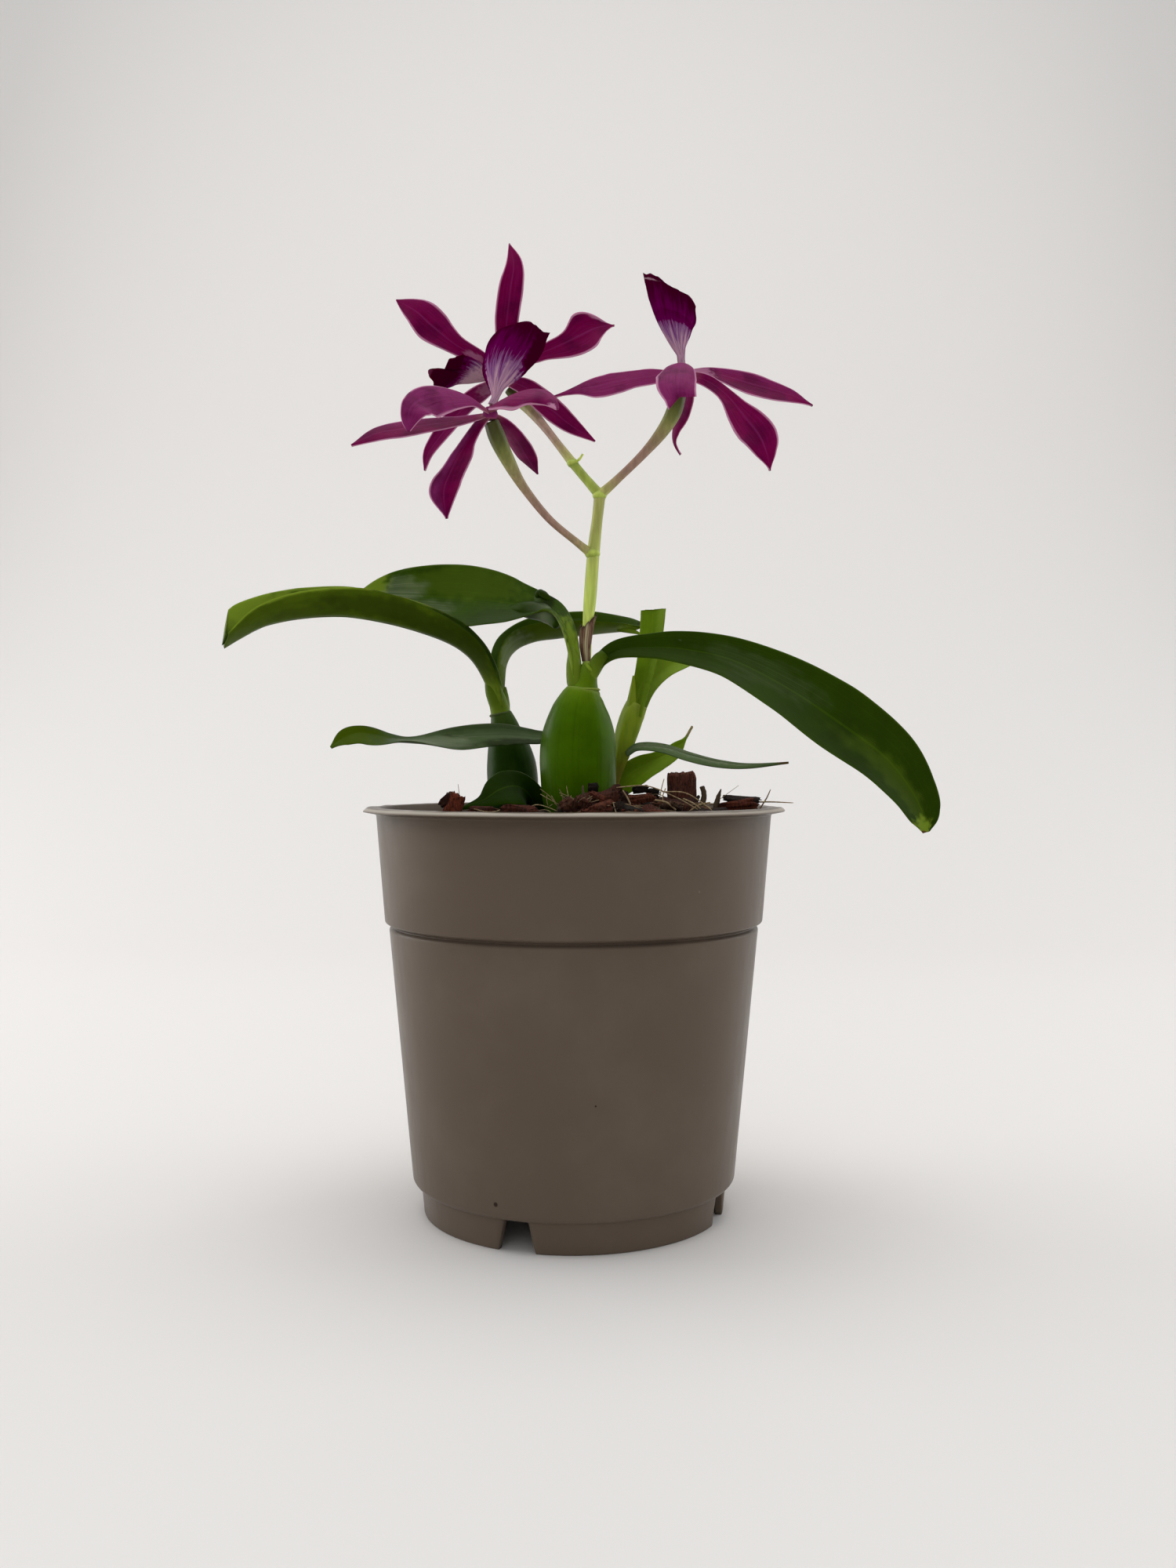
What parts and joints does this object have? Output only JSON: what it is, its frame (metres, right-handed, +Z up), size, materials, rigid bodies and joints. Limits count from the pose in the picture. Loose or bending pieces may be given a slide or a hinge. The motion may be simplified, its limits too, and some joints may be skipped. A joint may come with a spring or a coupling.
{
  "type": "potted encyclia orchid",
  "caption": "Orchid in bloom in a taupe plastic nursery pot: green pseudobulbs, arching strap leaves and a branched flower stem with magenta and purple blooms in a bed of bark.",
  "frame": {"origin": "on the pot's axis, at the level the pot stands on", "axes": "+Z up along the pot's axis, -Y towards the plant's front, +X to the right as seen from the front"},
  "size_m": [0.1982, 0.12, 0.2782],
  "materials": {
    "pot_plastic": "satin moulded taupe plastic with fine specks and scratches",
    "bark": "rough dark brown bark",
    "bark_red": "rough reddish bark with a fibrous grain",
    "root": "matt pale corky root",
    "bulb_skin": "waxy mid-green skin with fine upright veins",
    "bulb_skin_dark": "satin grey-green skin",
    "sheath_green": "green bract flushed with reddish brown",
    "leaf": "leathery deep green leaf with a soft sheen",
    "leaf_dark": "leathery blue-green leaf with a grey bloom",
    "leaf_young": "thin light green leaf",
    "papery_bract": "dry papery brown bract with pale streaks",
    "flower_stem": "smooth yellow-green stem, brown-pink on the pedicels",
    "tepal": "velvety deep magenta with a pale pink margin",
    "lip": "dark purple with a white to lilac throat",
    "column": "waxy pale pink with purple streaks"
  },
  "bodies": {
    "root": {"pot": "pot_plastic", "bark_bed": "bark", "bark_chunk_upright": "bark_red", "rhizome_roots": "root", "pseudobulb_front": "bulb_skin", "pseudobulb_back_left": "bulb_skin_dark", "shoot_sheath": "sheath_green", "leaf_right_front": "leaf", "leaf_left_front": "leaf", "leaf_upper_left": "leaf", "leaf_back_arching": "leaf", "leaf_low_left": "leaf", "leaf_left_dark": "leaf_dark", "leaf_right_narrow": "leaf_dark", "leaf_right_short": "leaf_young", "leaf_shoot_upright": "leaf_young", "leaf_shoot_folded": "leaf_young", "spike_sheath": "papery_bract", "flower_spike": "flower_stem", "bloom_left_tepals": "tepal", "bloom_back_tepals": "tepal", "bloom_right_tepals": "tepal", "bloom_left_lip": "lip", "bloom_back_lip": "lip", "bloom_right_lip": "lip", "bloom_left_column": "column", "bloom_back_column": "column", "bloom_right_column": "column"}
  },
  "joints": []
}
